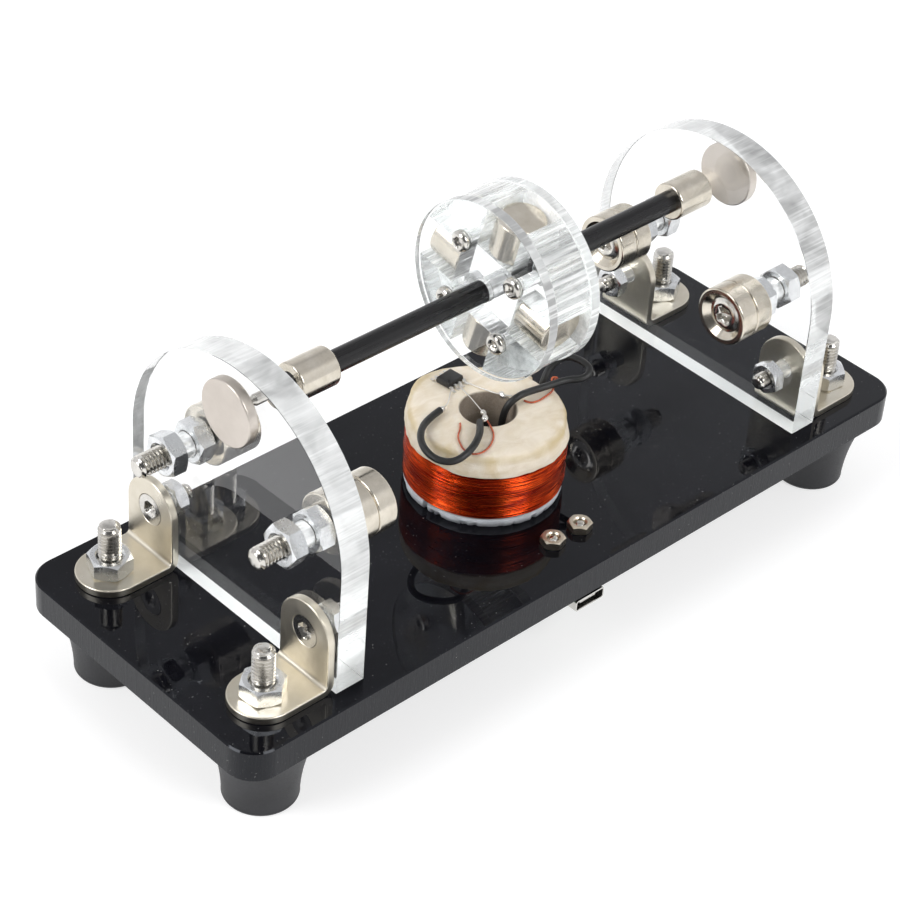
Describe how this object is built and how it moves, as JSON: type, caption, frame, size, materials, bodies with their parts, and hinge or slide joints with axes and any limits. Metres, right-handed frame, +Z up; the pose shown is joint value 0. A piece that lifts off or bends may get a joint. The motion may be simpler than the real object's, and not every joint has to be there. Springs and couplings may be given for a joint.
{
  "type": "demonstration electric motor",
  "caption": "Demonstration motor with magnetic bearings; clear magnet rotor on a black rod turns over a sensed coil, between clear end plates with adjustable lifting magnets, on a footed base",
  "frame": {"origin": "on the table, under the middle of the base (the middle of the object's box at the bottom of its feet)", "axes": "+X along the rotor's rod, from the end where the rod's steel point touches to the other; +Z up; the power socket faces -Y"},
  "size_m": [0.16, 0.06, 0.0785],
  "materials": {
    "clear_acrylic": "clear, laser-cut edges",
    "black_acrylic": "polished black",
    "rubber": "matt moulded",
    "zinc_nuts": "bright zinc",
    "steel_screws": "nickel-plated steel",
    "nickel_bracket": "warm nickel plate",
    "nickel_magnet": "satin nickel plate",
    "black_rod": "satin black",
    "white_bobbin": "white moulded",
    "copper": "red-orange enamelled copper",
    "cream_collar": "cream, hand-finished",
    "black_chip": "moulded epoxy",
    "tinned_wire": "tinned",
    "black_sleeve": "satin sleeve",
    "enamel_wire": "enamelled copper",
    "circuit_board": "solder mask",
    "socket_steel": "bright steel"
  },
  "bodies": {
    "frame": {"adjuster_inner_nuts": "zinc_nuts", "adjuster_outer_nuts": "zinc_nuts", "base_plate": "black_acrylic", "board_nuts": "zinc_nuts", "board_screws": "steel_screws", "bracket_back_left": "nickel_bracket", "bracket_back_right": "nickel_bracket", "bracket_front_left": "nickel_bracket", "bracket_front_right": "nickel_bracket", "bracket_nuts": "zinc_nuts", "bracket_screws": "steel_screws", "coil_bobbin": "white_bobbin", "coil_collar": "cream_collar", "coil_winding": "copper", "coil_wire": "black_sleeve", "enamel_wire_orange": "enamel_wire", "enamel_wire_red": "enamel_wire", "end_magnet_left": "nickel_magnet", "end_magnet_right": "nickel_magnet", "end_plate_left": "clear_acrylic", "end_plate_right": "clear_acrylic", "foot_back_left": "rubber", "foot_back_right": "rubber", "foot_front_left": "rubber", "foot_front_right": "rubber", "foot_nuts": "zinc_nuts", "foot_screws": "steel_screws", "hall_leads": "tinned_wire", "hall_sensor": "black_chip", "sensor_wire": "black_sleeve", "solder_joints": "tinned_wire", "supply_wire": "black_sleeve", "usb_board": "circuit_board", "usb_socket": "socket_steel"},
    "rotor": {"rotor_core": "clear_acrylic", "rotor_disc_left": "clear_acrylic", "rotor_disc_right": "clear_acrylic", "rotor_magnet_1": "nickel_magnet", "rotor_magnet_2": "nickel_magnet", "rotor_magnet_3": "nickel_magnet", "rotor_magnet_4": "nickel_magnet", "rotor_nuts": "zinc_nuts", "rotor_screws": "steel_screws", "rotor_shaft": "black_rod", "shaft_magnet_left": "nickel_magnet", "shaft_magnet_right": "nickel_magnet", "thrust_pin": "steel_screws"},
    "adjuster_front_left": {"adjuster_magnets_front_left": "nickel_magnet", "adjuster_screw_front_left": "steel_screws"},
    "adjuster_front_right": {"adjuster_magnets_front_right": "nickel_magnet", "adjuster_screw_front_right": "steel_screws"},
    "adjuster_back_left": {"adjuster_magnets_back_left": "nickel_magnet", "adjuster_screw_back_left": "steel_screws"},
    "adjuster_back_right": {"adjuster_magnets_back_right": "nickel_magnet", "adjuster_screw_back_right": "steel_screws"}
  },
  "joints": [
    {"name": "rotor_spin", "type": "hinge", "parent": "frame", "child": "rotor", "pos_m": [0, 0, 0.062], "axis": [1, 0, 0], "continuous": true},
    {"name": "adjuster_slide_front_left", "type": "slide", "parent": "frame", "child": "adjuster_front_left", "axis": [1, 0, 0], "range_m": [0, 0.004]},
    {"name": "adjuster_slide_front_right", "type": "slide", "parent": "frame", "child": "adjuster_front_right", "axis": [-1, 0, 0], "range_m": [0, 0.004]},
    {"name": "adjuster_slide_back_left", "type": "slide", "parent": "frame", "child": "adjuster_back_left", "axis": [1, 0, 0], "range_m": [0, 0.004]},
    {"name": "adjuster_slide_back_right", "type": "slide", "parent": "frame", "child": "adjuster_back_right", "axis": [-1, 0, 0], "range_m": [0, 0.004]}
  ]
}
